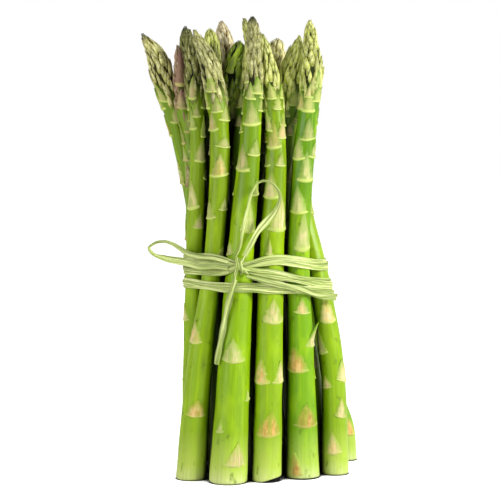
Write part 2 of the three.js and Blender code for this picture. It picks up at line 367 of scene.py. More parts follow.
for index, (name, look) in enumerate(freeStrands.items()):
    route = evenRoute(look["route"])
    share = np.linspace(0, 1, len(route))
    roll = np.radians(np.interp(share, *zip(*look["rolls"])))[:, None]
    tangent = unit(np.gradient(route, axis=0))
    front = unit(np.array([[0, -1, 0]]) + tangent[:, 1:2] * tangent)
    outward = np.cos(roll) * front + np.sin(roll) * np.cross(tangent, front)
    parts = []
    ribbon(parts, route, outward, look["width"], seeds["free"] + index, look["dye"], look["widths"])
    piece = buildPiece(name.replace("raffia_", "raffia_ribbon_"), parts, raffiaSkin, name)
print("free raffia made")


# The wound raffia follows the outline of the spears, pulled tight. Turns are rows of
# [degrees round from the front, height, lift], as the bundle was wound.

windingLook = {
    "middle": (1.5, -1.5),
    "gap": 0.6,  # from the outline to the middle of a strand
    "degreesPerStep": 2.5,
    "knotFacing": -8,
    "upper": [
        (-17, 91, 0), (-4, 91.9, 0), (20, 93.4, 0), (70, 90.6, 0), (120, 90, 0), (200, 91, 0),
        (270, 93.3, 0), (330, 92.8, 0), (343, 91.6, 0),
    ],
    "lower": [
        (-17, 90.6, 0), (-4, 89, 0), (20, 87.6, 0), (80, 82.2, 0), (180, 82.6, 0), (270, 83.1, 0),
        (343, 82.2, 0), (385, 81.6, 0), (420, 80, 0), (450, 78.2, 0), (484, 78.3, 0), (500, 79.2, 1.3),
        (535, 82.5, 1.3), (572, 86.2, 1.3), (588, 87.6, 0), (630, 88.6, 0), (690, 89.2, 0), (703, 90.4, 0),
    ],
    # Each strand of a band is (height above the band's middle, extra lift, width, dye).
    "upperStrands": [(1.4, 0, 1.9, 0), (0.1, 0.3, 1.8, 0.15), (-1.1, 0.1, 1.9, 0), (0.6, 0.6, 0.9, 0.2)],
    "lowerStrands": [(1.0, 0, 1.9, 0), (-0.2, 0.3, 1.7, 0.1), (-1.2, 0.1, 1.6, 0), (0.3, 0.6, 0.8, 0.2)],
    "fan": (0.25, 30),  # how close the strands lie at the knot, and how far round they lie freely
    "spread": 0.4,  # how much more they spread at the back
    "wander": (0.25, 70),  # how far they drift up and down, and over how many degrees
}


def tightReach(height, direction):
    # How far the spears' tight outline is from the middle of the winding, in one direction.
    ways = facingWay(np.arange(0, 360, 1.0))[:, :2]
    middle = np.array(windingLook["middle"])
    support = np.full(len(ways), -1e9)
    for shape in spearShapes.values():
        centre = shape["centre"](height)[:2] - middle
        support = np.maximum(support, ways @ centre + shape["radius"](height))
    facing = ways @ direction[:2]
    return (support[facing > 0.1] / facing[facing > 0.1]).min()


def woundRoute(turns, above, lift, seed):
    rows = np.array(turns, float)
    course = smoothThrough(rows[:, 0], rows[:, 1:])
    degrees = np.arange(rows[0, 0], rows[-1, 0] + 0.1, windingLook["degreesPerStep"])
    far, swing = windingLook["wander"]
    wander = far * wobble(random.Random(seed), degrees, swing)
    closest, freely = windingLook["fan"]
    route, outward = [], []
    for turn, drift in zip(degrees, wander):
        height, rise = course(turn)
        direction = facingWay(turn)
        free = min(1, (turn - degrees[0]) / freely, (degrees[-1] - turn) / freely)
        apart = closest + (1 - closest) * free
        apart += windingLook["spread"] * math.sin(math.radians(turn - windingLook["knotFacing"]) / 2) ** 2
        height = height + above * apart + drift * free
        reach = tightReach(height, direction) + windingLook["gap"] + rise + lift
        route.append(direction * reach + [*windingLook["middle"], height])
        outward.append(direction)
    return np.array(route), np.array(outward)


for index, band in enumerate(("upper", "lower")):
    parts = []
    for strand, (above, lift, width, dye) in enumerate(windingLook[band + "Strands"]):
        seed = seeds["wound"] + 7 * index + strand
        route, outward = woundRoute(windingLook[band], above, lift, seed)
        ribbon(parts, route, outward, width, seed, dye, crease=0.5)
    buildPiece("raffia_band_" + band, parts, raffiaSkin, "raffia_wrap_" + band)
print("wound raffia made")


# The knot: one strand goes straight across, one turns over it, and the bow comes out of it.

knotLook = {
    "centre": (-5.8, -26.9, 91),
    "step": 0.5,
    "forward": 3,  # how strongly the flat sides face the front
    "widths": (2.1, 2.1, 1.3, 1.7, 1.8),
    "tucked": [(0, 0.4), (0.3, 1), (0.7, 1), (1, 0.4)],  # each strand narrows where it goes under
    "dye": 0.1,
    # Each strand is a route measured from the knot's centre, in millimetres.
    "strands": [
        [(-5.5, 0.6, -0.6), (-3, -0.4, -0.2), (0, -1.2, 0), (3.2, -0.2, -0.9), (5.4, 1.5, -1.6)],
        [(-4.5, 0.2, 1.8), (-2.4, -0.6, 1.2), (0.4, -0.9, 0.6), (3.2, 0, -2.2), (4.4, 0.8, -3.2)],
        [(-0.8, -0.8, 5.4), (-0.5, -1.6, 3), (-0.2, -2.3, 0.4), (-0.9, -1.7, -2.6), (-1.3, -0.9, -5.4)],
        [(2.9, -0.9, 4.8), (1.6, -1.3, 2.4), (-0.6, -1.8, 0.6), (-2.8, -0.8, -0.6), (-4.6, 0, -0.8)],
        [(0.9, 1.2, -3), (1.6, -0.6, -2.4), (1.2, -2.2, 0), (0.6, -1.4, 2.4), (0, 0.8, 3.2),
         (-0.8, 1.4, 0.4), (-0.4, 0.6, -2.8)],
    ],
}

parts = []
for index, (points, width) in enumerate(zip(knotLook["strands"], knotLook["widths"])):
    route = evenRoute(np.array(points) + knotLook["centre"], knotLook["step"])
    outward = route - knotLook["centre"] + [[0, -knotLook["forward"], 0]]
    ribbon(parts, route, outward, width, seeds["knot"] + index, knotLook["dye"], knotLook["tucked"])
buildPiece("raffia_bow_knot", parts, raffiaSkin, "raffia_knot")
print("knot made")


# How much light gets in between the spears, for the painted shade: near 1 on the outside of the bundle, near 0
# deep inside.

openGrid = {
    "heightStep": 6, "belowTip": 3,  # between levels, and from the top one to the tip
    "facings": 36,  # places round a spear, and as many ways that light may come in
    "rayStart": 0.15,  # how far off the skin each ray starts
}


def readOpenness(shape):
    others = [other for other in spearShapes.values() if other is not shape]
    step, count = openGrid["heightStep"], openGrid["facings"]
    heights = np.arange(0, shape["tip"] + step, step)
    ways = facingWay(np.arange(count) * 360 / count)[:, :2]
    weight = np.maximum(ways @ ways.T, 0)
    rows = []
    for height in heights:
        level = min(height, shape["tip"] - openGrid["belowTip"])
        start = shape["centre"](level)[:2] + ways * (shape["radius"](level) + openGrid["rayStart"])
        blocked = np.zeros(weight.shape, bool)
        for other in others:
            if other["tip"] > level:
                towards = other["centre"](level)[:2] - start
                ahead = towards @ ways.T
                beside = (towards ** 2).sum(1, keepdims=True) - ahead ** 2
                blocked |= (ahead > 0) & (beside < other["radius"](level) ** 2)
        rows.append((weight * ~blocked).sum(1) / weight.sum(1))
    rows = np.array(rows)

    def openness(skin):
        # skin is a point measured from the spear's own middle line.
        turn = np.degrees(np.arctan2(skin[..., 0], -skin[..., 1])) % 360 / 360 * count
        row = np.clip(skin[..., 2] / step, 0, len(heights) - 1.001)
        i, j = row.astype(int), turn.astype(int) % count
        k = (j + 1) % count
        down, across = row - i, turn % 1
        return ((rows[i, j] * (1 - across) + rows[i, k] * across) * (1 - down)
                + (rows[i + 1, j] * (1 - across) + rows[i + 1, k] * across) * down)

    return openness


tipShadeReach = 2.7  # how far below its tip a spear is shaded dark


def addSkin(parts, shape, rings, leaf, kind):
    # leaf is (across, up, tone) and kind is (leaf or not, youth, cut face or stain).
    skin = rings - shape["centre"](np.minimum(rings[..., 2], shape["tip"])) * [1, 1, 0]
    below = (shape["tip"] - rings[..., 2]) / tipShadeReach
    place = pointValues(shape["openness"](skin), shape["hue"], shape["darkTip"] * np.exp(-below ** 2))
    addPart(parts, rings, skin=skin, leaf=leaf, kind=kind, place=place)


# Scale leaves: each is a closed shell that springs from a ledge on the stem and points up. Its
# thicknesses are in millimetres, and its rises and drops are shares of its length.

ledgeDrop = 0.075  # how far down the underside of a ledge goes
flareRise = 0.09  # how far up the foot is flared
tightest = 1.1  # no leaf curls round less than this radius

stemLeaf = {
    "taper": 1.1, "flare": 0.1, "belly": 0.0,  # its outline
    "ledge": 0.5, "ledgeRise": 0.12, "sag": 0.8,  # the ledge at its foot
    "body": 0.22, "edge": 0.14, "keel": 0.06,  # how far it stands off the stem
    "free": 0.1, "bulge": 0.25,  # and how much more at its tip and its middle
    "ridges": 0.03, "ragged": 0.1, "cup": 1.0, "sink": 0.5, "shell": 0.25,
}
# The broad scale leaves just under the head stand away from it a little.
collarLeaf = {
    "taper": 1.25, "flare": 0.1, "belly": 0.12,
    "ledge": 0.45, "ledgeRise": 0.15, "sag": 0.6,
    "body": 0.3, "edge": 0.05, "keel": 0.12, "free": 0.55, "bulge": 0.4,
    "ridges": 0.08, "ragged": 0.18, "cup": 0.85, "sink": 0.6, "shell": 0.3,
}


def addLeaf(parts, shape, kind, size, rng, height, facing, width, length, stain, youth, lean, stand=0.0):
    rows, columns = size
    v = np.concatenate([[-ledgeDrop, -0.06, -0.03], np.linspace(0.0, 1, rows)])[:, None]
    u = np.linspace(-1, 1, columns)[None]
    up = np.clip(v, 0, 1)
    belly = kind["belly"] + rng.uniform(0, 0.3)
    blade = (1 - up) ** (kind["taper"] * rng.uniform(0.6, 1.0)) * (1 + belly * 4 * up * (1 - up))
    half = width / 2 * ((1 - kind["flare"]) * blade + kind["flare"] * np.exp(-up / flareRise)) + 0.08
    half = half * (1 + kind["ragged"] * wobble(rng, v * length, 1.8))
    ledge = kind["ledge"] * (0.4 + 0.75 * youth) * np.exp(-(up / kind["ledgeRise"]) ** 2)
    free = (kind["free"] + stand) * up ** 2
    middle = kind["body"] * (1 - 0.6 * up) + ledge + free + kind["bulge"] * np.sin(math.pi * up) ** 1.5
    middle = middle + kind["keel"] * (1 - up)
    edge = kind["edge"] + 0.8 * ledge + 0.9 * free
    outer = middle + (edge - middle) * np.abs(u) ** 2.2
    wave = np.cos(math.pi * u * 2.5 + 0.6 * wobble(rng, v * length, 6))
    outer = outer + kind["ridges"] * wave * (1 - up) ** 0.3
    outer = np.where(v < 0, outer * (1 + v / ledgeDrop) ** 0.6 + kind["sink"] * v / ledgeDrop, outer)
    rise = kind["free"] + stand + kind["body"]
    lower = np.minimum(outer - 0.06, -kind["sink"] + rise * np.maximum(up - 0.25, 0) ** 1.2)
    inner = np.minimum(outer - 0.08, np.maximum(lower, outer - kind["shell"] - 2.2 * (1 - up)))
    z = height + length * v - kind["sag"] * width / 8 * (1 - u ** 2) * (1 - up) ** 3
    z = z + rng.uniform(-0.5, 0.5) * u * (1 - up) ** 2  # the ledge is seldom quite level
    radius = shape["radius"](np.minimum(z, shape["tip"])) * shape["core"](z)
    bend = max(shape["radius"](height) * kind["cup"], tightest)
    centre = shape["centre"](np.minimum(z, shape["tip"]))
    centre[..., 2] = z
    turn = np.degrees(lean * up ** 1.5 / bend)
    outward = facingWay(np.broadcast_to(facing + turn, z.shape))
    spread = facingWay(facing + turn + np.degrees(u * half / bend))
    sides = []
    for level in (outer, inner):
        sides.append(centre + outward * (radius - bend)[..., None] + spread * (bend + level)[..., None])
    rings = np.concatenate([sides[0], sides[1][:, ::-1]], 1)
    across = np.broadcast_to(np.concatenate([u[0], u[0, ::-1]]), rings.shape[:2])
    addSkin(parts, shape, rings, pointValues(across, v, rng.random()), (1, youth, stain))


def addPod(parts, shape, size, rng, height, facing, width, length, rise, lean):
    # The head's scale leaves are plump, keeled and pointed, and each stands free at its point.
    rows, columns = size
    v = np.linspace(0, 1, rows)[:, None]
    turn = (np.arange(columns) * 2 * math.pi / columns)[None]
    half = width / 2 * (0.66 + 1.5 * v * (1 - v)) * (1 - v ** 2.4) ** 0.85 + 0.04
    front = np.maximum(np.cos(turn), 0)
    beside = half * np.sin(turn) + lean * v ** 1.5
    z = height + length * v + 0 * turn
    level = np.minimum(z, shape["tip"])
    radius = shape["radius"](level) * shape["core"](z)
    stand = radius - 0.3 + rise * v ** 1.3 + half * (0.5 * np.cos(turn) + 0.16 * front ** 6)
    stand = stand - beside ** 2 / (2 * np.maximum(radius, 1.5))
    centre = shape["centre"](level)
    centre[..., 2] = z
    outward = facingWay(np.full(z.shape, float(facing)))
    sideways = facingWay(np.full(z.shape, float(facing + 90)))
    rings = (centre + outward * stand[..., None] + sideways * beside[..., None])[:, ::-1]
    leaf = pointValues(np.sin(turn)[:, ::-1], v, rng.random())
    addSkin(parts, shape, rings, leaf, (1, 1, rng.random()))


stemLook = {
    # The cut end is rounded off: this high up, its radius is this much less.
    "rounding": [(0, 0.7), (0.12, 0.35), (0.4, 0.12), (0.9, 0.02)],
    "firstRow": 1.8, "lastRow": 1.6,  # above the cut end, and below the tip
    "ribs": 9, "ribDepth": 0.06,
    "swelling": (0.18, 3.5, 45),  # under a given scale leaf: how high, how tall, and degrees round
    "cutReach": 12,  # how far up a slanted cut end is felt
}


def addStem(parts, shape, size, rng, look):
    rows, sides = size
    straight = np.linspace(stemLook["firstRow"], shape["tip"] - stemLook["lastRow"], rows)
    heights, insets = zip(*stemLook["rounding"])
    z = np.concatenate([heights, straight])
    turn = np.arange(sides) * 360 / sides
    radius = shape["radius"](z) * shape["core"](z)
    radius[:len(insets)] -= insets
    swell = 0.012 * wobble(rng, z, 25)[:, None]
    swell = swell + 0.01 * wobble(rng, z, 60)[:, None] * np.cos(np.radians(turn * 2))
    ribs = stemLook["ribDepth"] * np.cos(np.radians(turn * stemLook["ribs"] + rng.uniform(0, 360)))[None]
    ribs = ribs * np.clip(z / 30, 0.3, 1)[:, None]
    reach = radius[:, None] * (1 + swell) + ribs
    deep, tall, wide = stemLook["swelling"]
    for height, facing, *_ in look.get("leaves", ()):
        away = np.abs((turn - facing + 180) % 360 - 180)[None]
        reach = reach + deep * np.exp(-((z - height - 1) / tall) ** 2)[:, None] * np.exp(-(away / wide) ** 2)
    rings = shape["centre"](z)[:, None] + facingWay(turn)[None] * reach[..., None]
    slope, way = look.get("cut", (rng.uniform(0, 0.08), rng.uniform(0, 360)))
    raised = slope * np.maximum((facingWay(turn) @ facingWay(np.array(float(way)))) * radius[0], 0)
    rings[..., 2] += raised[None] * np.clip(1 - z / stemLook["cutReach"], 0, 1)[:, None] ** 1.5
    kind = np.zeros(rings.shape)
    kind[0, :, 2] = 1  # the cut face
    addSkin(parts, shape, rings, (0, 0, 0), kind)


# The looks of each spear. Its skin is green where none is named. Phase is where its first grown scale
# leaf faces. Hue runs from -1, deep green, to 1, yellow green. DarkTip is how dark the tip is, and cut
# how steep the cut end is, and which way it rises. Leaves are (height, facing, width, length, stain)
# in millimetres and degrees round from the front, with stain from 0, fresh, to 1, brown. One that
# leans to the side and stands off the stem says how far. The rest grow in a spiral.
spears = {
    "front_left": {"skin": "paleWithPaintedShade", "phase": 20, "hue": 0.6, "darkTip": 0.1, "leaves": [
        (28, 2, 8.4, 6.5, 0.7), (59, -48, 8.5, 9, 0.5), (95, 52, 5, 4.5, 0.3), (111, -58, 7, 8, 0.3),
        (114.5, 42, 5, 5, 0.1), (129, -2, 8.6, 9.5, 0.55), (141, 25, 7, 4, 0.2),
        (148, -50, 6.5, 8.5, 0.5), (155.5, -8, 5.5, 7, 0.2), (152, 45, 5.5, 7, 0.1),
        (164, -20, 6, 7, 0.1), (157, -82, 5, 9, 0.3),
    ]},
    "front_thick": {"skin": "paleWithPaintedShade", "phase": 75, "hue": 0.3, "darkTip": 0.9, "leaves": [
        (8.5, 24, 10.5, 9.5, 0.45), (22, -38, 4, 5, 0.1), (35, 66, 4, 4.5, 0.1), (52, -5, 11, 9.5, 0.2),
        (96, -60, 6, 5.5, 0.2), (106, 27, 7, 13, 0.15), (121, 58, 6, 6.5, 0.1),
        (131.5, -38, 8, 11, 0.35), (137.5, 30, 6, 7, 0.05), (147, -80, 5, 5, 0.1),
        (150.5, 3, 8.5, 10.5, 0.1), (156, 70, 5, 6, 0.1), (161, -20, 5, 7, 0.1), (163.3, 36, 6, 7, 0.05),
    ]},
    "front_middle": {"phase": 140, "hue": 0.5, "cut": (0.35, 70), "darkTip": 0.2, "leaves": [
        (20.5, 5, 12, 10, 0.8), (42.5, -40, 9.5, 10, 0.6), (42.5, 55, 8, 9, 0.4), (68, 18, 11, 10, 0.35),
        (95.8, -12, 3, 7, 0.3), (106.5, 32, 9, 14.5, 0.3), (120, -25, 8.5, 11.5, 0.3),
        (133, 26, 4.5, 6, 0.2), (133, -75, 6, 7, 0.2), (140.7, -14, 6.5, 11.5, 0.6),
        (150, 70, 6, 7, 0.1), (156.5, 28, 4.5, 6.5, 0.1), (161, 3, 5, 7, 0.15), (161, 80, 5, 6, 0.1),
    ]},
    "front_right": {"phase": 210, "hue": -0.25, "darkTip": 0.1, "leaves": [
        (2.3, -26, 8.5, 9.5, 0.95), (23.3, 22, 12, 9, 0.85), (46.7, -22, 11, 10, 0.75),
        (57, 62, 8, 9, 0.35, 3.0, 2.6), (71, 15, 7, 6.5, 0.5), (98, 25, 8, 18, 0.15),
        (113.5, -11, 7.5, 11.5, 0.15), (127, 20, 7.5, 12.5, 0.1), (136, -40, 7.5, 10, 0.2),
        (136.5, 62, 6, 7, 0.1), (144, 13, 6, 9, 0.15), (156, -5, 6, 10.5, 0.15), (160, 52, 6, 7, 0.1),
    ]},
    "right": {"phase": 250, "hue": 0.5, "leaves": [
        (10, -7, 7.5, 9, 0.5), (38, -36, 5, 5, 0.5), (41, 58, 8, 9, 0.35), (66.5, 14, 8, 11, 0.55),
    ]},
    "left_front": {"skin": "olive", "phase": 300, "hue": 0.6, "leaves": [
        (67, -62, 5.5, 7, 0.35), (106.5, 17, 4.5, 6, 0.3), (115, -38, 7, 12, 0.3), (134.7, 20, 5, 9, 0.3),
        (153.5, -5, 4.5, 6.5, 0.2), (127, 82, 4.5, 8, 0.3), (157, 80, 5, 9, 0.3),
    ]},
    "left_middle": {"skin": "olive", "phase": 330, "darkTip": 0.9, "leaves": [
        (161, 9, 5, 8, 0.2), (164.6, 70, 6, 13, 0.4),
    ]},
    "left_leaning": {"skin": "cream", "phase": 10, "hue": 0.4, "darkTip": 0.8, "leaves": [
        (151, 12, 5, 7.5, 0.3), (156.5, -80, 6, 9, 0.2), (160, -40, 5, 8, 0.2),
    ]},
    "left_purple": {"skin": "purple", "phase": 45, "hue": 0.4, "leaves": [
        (134.7, -60, 5, 8.5, 0.3), (147, 10, 5, 8, 0.2), (157, -20, 5, 8, 0.5), (167, 0, 5.5, 15, 0.9),
    ]},
    "inner_left": {"skin": "limeWithPaintedLight", "phase": 110},
    "inner_front": {"phase": 190, "darkTip": 0.5},
    "inner_slender": {"phase": 60},
    "inner_right": {"skin": "limeWithPaintedLight", "phase": 95},
    "core_left": {"skin": "brown", "phase": 235},
    # Its hue of 1 is a yellower, lighter stem: partly its own colour, partly painted light, as it stands in
    # shade.
    "core_middle": {"skin": "deep", "phase": 275, "hue": 1.0, "leaves": [
        (172.5, -32, 4.2, 13, -0.3, 5, 0.3),
    ]},
    "core_right": {"skin": "warmWithPaintedLight", "phase": 165},
    "outer_right": {"phase": 30},
    "back_left": {"phase": 85, "hue": 0.5},
    "back_middle": {"skin": "cream", "phase": 200, "hue": -0.3},
    "back_right": {"phase": 320, "hue": 0.2},
}

growth = {
    "lowest": (14, 4),  # the lowest grown scale leaf's height, more or less
    "lowStep": 15, "highStep": 4.5,
    "stemWidth": 1.2, "stemLength": 9.5,
    "tie": (73, 97),  # none grows under the raffia
    "given": (5, 95, 150),  # past this many given, none grows this near the front below this height
    # For the rest, heights are measured down from the tip.
    "collar": (45, 26, 1.6),  # from the first to the last, and the step between them
    "collarWidth": (0.75, 1.4), "collarLength": (5, 10), "collarStain": (-0.1, 0.75), "collarYouth": 0.7,
    "pods": (34, 2.4, 0.17, 0.0003),  # the same, with a step that grows as the distance's square
    "podWidth": (0.9, 1.6, 8),  # a width at the tip, what it gains, and how fast
    "podLength": (2.6, 4.6, 12),
    "podRise": (0.2, 1.4),
    "missing": 0.01,  # the share of the lower pods that have dropped off
    # How far a grown one keeps from the given ones, in millimetres and degrees.
    "stemClear": (9, 75), "collarClear": (5, 50), "podClear": (4, 40),
    # How far each turn may be off the golden angle.
    "stemTurn": 8, "collarTurn": 10, "podTurn": 14,
}


def grownSize(numbers, below):
    start, gain, reach = numbers
    return start + gain * (1 - math.exp(-below / reach))


def growLeaves(parts, shape, look, rng, leafSize, podSize):
    given = look.get("leaves", ())

    def clearOf(height, facing, clear):
        tall, wide = clear
        return all(abs(height - other[0]) > tall or abs((facing - other[1] + 180) % 360 - 180) > wide
                   for other in given)

    def nextTurn(most):
        return goldenAngle + rng.uniform(-most, most)

    for height, facing, width, length, stain, *own in given:
        kind = collarLeaf if height > shape["neck"] else stemLeaf
        lean, stand = own or (rng.uniform(-1.2, 1.2), rng.uniform(0, 0.3))
        addLeaf(parts, shape, kind, leafSize, rng, height, facing, width, length, stain,
                min(0.8, height / shape["tip"]), lean, stand)
    lowest, spare = growth["lowest"]
    height = lowest + rng.uniform(-spare, spare)
    facing = look["phase"]
    many, front, high = growth["given"]
    below, last, step = growth["collar"]
    top = shape["tip"] - below
    while height < top:
        share = height / top
        away = abs((facing + 180) % 360 - 180)
        shown = len(given) > many and away < front and height < high
        length = growth["stemLength"] * rng.uniform(0.85, 1.15)
        tied = growth["tie"][0] - length < height < growth["tie"][1]
        if clearOf(height, facing, growth["stemClear"]) and not shown and not tied:
            addLeaf(parts, shape, stemLeaf, leafSize, rng, height, facing,
                    shape["radius"](height) * growth["stemWidth"] * rng.uniform(0.9, 1.15), length,
                    rng.uniform(0.4, 0.9) - 0.55 * share, share, rng.uniform(-0.8, 0.8))
        height += growth["lowStep"] + (growth["highStep"] - growth["lowStep"]) * share ** 1.5
        facing += nextTurn(growth["stemTurn"])
    while below > last:
        height = shape["tip"] - below
        if clearOf(height, facing, growth["collarClear"]):
            addLeaf(parts, shape, collarLeaf, leafSize, rng, height, facing,
                    shape["radius"](height) * rng.uniform(*growth["collarWidth"]),
                    rng.uniform(*growth["collarLength"]), rng.uniform(*growth["collarStain"]),
                    growth["collarYouth"], rng.uniform(-1.3, 1.3))
        below -= step
        facing += nextTurn(growth["collarTurn"])
    thickness = shape["radius"](shape["neck"]) / 4
    below, last, step, more = growth["pods"]
    while below > last:
        length = min(grownSize(growth["podLength"], below) * rng.uniform(0.75, 1.25), below + 0.4)
        width = grownSize(growth["podWidth"], below) * thickness * rng.uniform(0.7, 1.25)
        rise = rng.uniform(*growth["podRise"]) * min(1, below / 8)
        kept = below < 12 or rng.random() > growth["missing"]
        height = shape["tip"] - below
        if kept and clearOf(height + 2, facing, growth["podClear"]):
            addPod(parts, shape, podSize, rng, height, facing, width, length, rise, rng.uniform(-0.8, 0.8))
        below -= step + more * below ** 2
        facing += nextTurn(growth["podTurn"])


# A scale leaf's colours, on every skin that doesn't give its own.
leafColours = {"ledge": "#bac866", "fresh": "#dabc7e", "stained": "#d0a25a", "brown": "#a67a3e"}

# A pod's colours run from its foot to its point, and its rim has a colour of its own. Thin is what
# shows through the thin scale leaves near the head, where that isn't the green of the stem. Core is
# the painted shade colour of the stem deep inside the head. Each set is partly a head's own colour
# and partly painted light and shade: the pale set is a darker copy, as painted shade, for heads that
# stand in full light at the front, and the lime, warm and brown sets, with the pods and thin colour
# of the deep set, are lighter copies, as painted light, for heads that stand in shade.
podStops = (0.0, 0.22, 0.5, 0.8, 1.0)
skinColours = {
    "green": {"pod": "#66701e #b0ba50 #ecef9a #c4c66a #7a7634", "rim": "#a0a746", "core": "#262c0c"},
    "limeWithPaintedLight": {"pod": "#8c9a2e #cedb5e #fbffa6 #e2e684 #9a9444", "rim": "#c2cc5a", "core": "#525a1c"},
    "paleWithPaintedShade": {"pod": "#5a5a24 #96964e #c6c58c #a4a060 #6c6434", "rim": "#838344", "core": "#22220c"},
    "cream": {"pod": "#77762c #c0bf68 #efecb0 #cfc880 #8a7e42", "rim": "#a8a456", "core": "#2a280c"},
    "warmWithPaintedLight": {"pod": "#a6a048 #e0d888 #fffcca #f2e6a0 #b8a862", "rim": "#eae29a", "core": "#7c763a"},
    "olive": {"pod": "#40460f #6c7032 #9d9d5a #787440 #464020", "rim": "#6a6f2a", "core": "#1a1e08"},
    "brown": {"pod": "#6a5a30 #c8ba84 #fff8da #d8c29a #7c5848", "rim": "#bcac78", "core": "#463820"},
    "deep": {
        "pod": "#3f5210 #78941e #c8e052 #8eac34 #566822", "rim": "#7c9c26", "core": "#141e04",
        "thin": "#cdf040",
    },
    "purple": {
        "pod": "#6a5426 #9a7c52 #b88e7a #8f6862 #5a403e", "rim": "#86704a", "core": "#241808",
        "thin": "#8a625c", "ledge": "#b0a862", "fresh": "#bca47c", "stained": "#a2806c", "brown": "#7c5650",
    },
}

# The skin changes towards the head, from one height to another: its scale leaves turn young and then
# thin, the stem inside it is painted dark as shade and is dull, and the painted shade between the
# spears fades out as light comes in from all round.
skinRises = {"young": (148, 160), "thin": (156, 163), "core": (158, 168), "open": (152, 170)}


def makeSpearSkin(name, colours):
    # Fresh asparagus: a smooth waxy skin over wet green flesh, so it is satin and never mirror
    # bright, and shows faint upright lines. The scale leaves are dry, thin and papery.
    material, add, lay, noise = newMaterial("fresh asparagus skin, " + name)
    skin, leaf, kind, place = [
        add("Attribute", attribute_name=key).outputs["Vector"]
        for key in ("skin", "leaf", "kind", "place")]
    height = add("SeparateXYZ", {0: skin}).outputs["Z"]
    across, up, chance = add("SeparateXYZ", {0: leaf}).outputs
    isLeaf, youth, mark = add("SeparateXYZ", {0: kind}).outputs
    openSky, hue, tipShade = add("SeparateXYZ", {0: place}).outputs

    # The stem: pale at the cut, vivid yellow green low down, deeper green towards the head.
    along = add("MapRange", {0: height, 1: 0, 2: tallest})
    stem = add("ValToRGB", {0: along}, stops=[
        (0.0, "#ced693"), (0.035, "#abbf58"), (0.11, "#759c12"), (0.25, "#6e9a02"),
        (0.45, "#709802"), (0.54, "#769a04"), (0.64, "#567c04"), (0.85, "#4e7608")])
    stem = lay(stem, "#a6b60c", hue, 0, 1, 0.45)
    stem = lay(stem, "#5fae0a", hue, 0, -1, 0.45)
    # The skin's ribs are about 0.4 mm apart; these lines are drawn about 1 mm apart so that they show.
    line = noise(skin, (1.0, 1.0, 0.03), 3)
    stem = lay(stem, "#5f8a0c", line, 0.5, 0.72, 0.25)
    stem = lay(stem, "#a8c81c", line, 0.46, 0.28, 0.28)
    # Ripening patches 10 to 20 mm long, and small bruises 2 or 3 mm across.
    stem = lay(stem, "#9cc008", noise(skin, (0.16, 0.16, 0.06), 2), 0.5, 0.7, 0.5)
    stem = lay(stem, "#566a10", noise(skin, (0.36, 0.36, 0.2), 4), 0.63, 0.72, 0.6)
    thin = lay(stem, colours.get("thin", stem), height, *skinRises["thin"])

    # The scale leaves: a lime ledge at the foot, then fresh green, cream, peach or brown.
    rim = add("Math", {0: across}, operation="ABSOLUTE")
    mottle = noise(skin, (0.5, 0.5, 0.35), 3)
    blotch = add("MapRange", {0: mottle, 1: 0.3, 2: 0.7, 3: -0.12, 4: 0.18})
    stained = add("Math", {0: mark, 1: blotch}, operation="ADD")
    scale = add("ValToRGB", {0: stained}, stops=[
        (0.0, "#a9b866"), (0.25, "#c2c080"), (0.45, "#d4bf8e"), (0.62, colours["fresh"]),
        (0.8, colours["stained"]), (1.0, colours["brown"])])
    # The veins of a scale leaf are drawn about 0.7 mm apart.
    vein = noise(skin, (1.5, 1.5, 0.12), 2)
    scale = lay(scale, "#8f9c42", vein, 0.48, 0.68, 0.45)
    young = lay("#8f9448", colours["rim"], height, *skinRises["young"])
    scale = lay(scale, young, youth, 0.6, 0.75, 0.5)
    scale = lay(scale, thin, up, 0.35, 1.0, 0.85)
    scale = lay(scale, thin, rim, 0.3, 0.95, 0.8)
    # Part of each thin scale leaf is see-through, and looks as green as the stem.
    scale = lay(scale, thin, noise(skin, (0.5, 0.5, 0.12), 2), 0.5, 0.62, 0.5)
    ledge = add("MapRange", {0: youth, 1: 0.15, 2: 0.55, 3: 0.4, 4: 1.0})
    scale = lay(scale, colours["ledge"], up, 0.09, 0.03, ledge)

    # The pods are partly their own colours and partly painted: the foot and the rim are darker as painted
    # shade, and the middle lighter as a painted highlight.
    pod = add("ValToRGB", {0: up}, stops=list(zip(podStops, colours["pod"].split())))
    pod = lay(pod, colours["rim"], rim, 0.4, 0.9, 0.9)
    pod = lay(pod, colours["rim"], vein, 0.42, 0.62, 0.7)
    pod = lay(pod, "#eceab4", noise(skin, (0.9, 0.9, 0.6), 2), 0.54, 0.66, 0.4)
    # Painted shade: dark specks of the core colour stand for the holes between the pods.
    pod = lay(pod, colours["core"], noise(skin, (1.1, 1.1, 0.7), 2), 0.42, 0.32, 0.65)
    scale = lay(scale, pod, youth, 0.8, 0.95)
    darkest = add("MapRange", {0: youth, 1: 0.8, 2: 0.95, 3: 0.9, 4: 0.6})
    tone = add("MapRange", {0: chance, 1: 0, 2: 1, 3: darkest, 4: 1.05})
    scale = add("VectorMath", {0: scale, "Scale": tone}, operation="SCALE")
    scale = lay(scale, "#2c2e12", tipShade, 0, 0.9)

    # Painted shade: the stem inside the head is darkened to the core colour, standing in for the shade
    # deep between the pods. The cut end shows pale stringy flesh.
    coreLow, coreHigh = skinRises["core"]
    stem = lay(stem, colours["core"], height, coreLow, coreHigh)
    strings = add("TexVoronoi", {"Vector": skin, "Scale": 0.9})
    flesh = add("ValToRGB", {0: strings}, stops=[
        (0.1, "#b4c276"), (0.3, "#e8ecc0"), (0.8, "#f2f3d6")])
    stem = add("Mix", {0: mark, 6: stem, 7: flesh}, data_type="RGBA")
    colour = add("Mix", {0: isLeaf, 6: stem, 7: scale}, data_type="RGBA")

